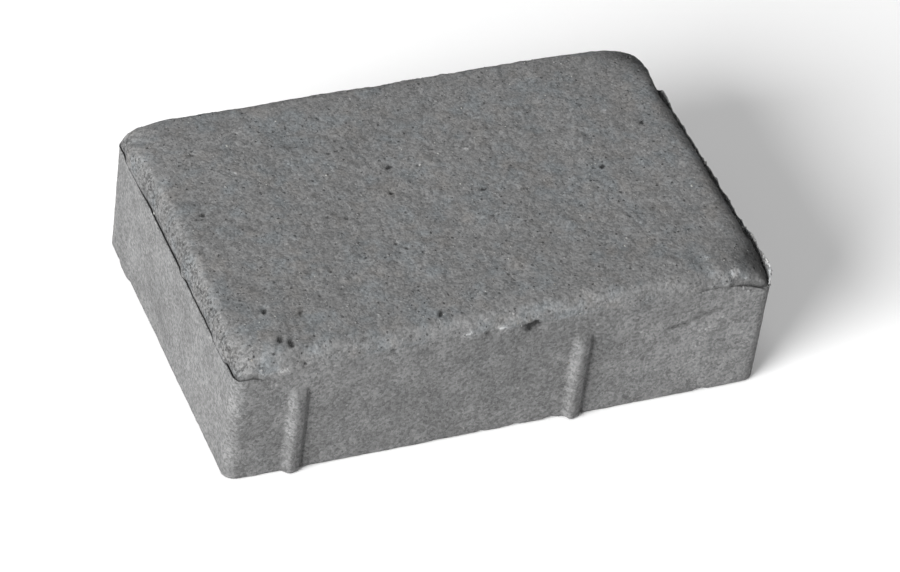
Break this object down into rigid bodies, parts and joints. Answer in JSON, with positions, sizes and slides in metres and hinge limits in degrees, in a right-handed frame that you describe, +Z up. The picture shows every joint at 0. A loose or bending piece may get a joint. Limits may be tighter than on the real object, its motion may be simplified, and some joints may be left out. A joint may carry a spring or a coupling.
{
  "type": "concrete paving stone",
  "caption": "Rectangular pressed concrete paving stone with a pillowed wearing face, a thin fin round its top edge and spacer ribs on its long faces.",
  "frame": {"origin": "middle of the bedding face, the flat underside that the stone lies on", "axes": "+Z up through the wearing face, +X along the length, +Y across the width; the long face with the ribs that the picture shows is at -Y"},
  "size_m": [0.217, 0.145, 0.06],
  "materials": {
    "concrete": "dry pressed concrete, matt and sandy, with exposed fine grit"
  },
  "bodies": {
    "root": {"paving_stone": "concrete"}
  },
  "joints": []
}
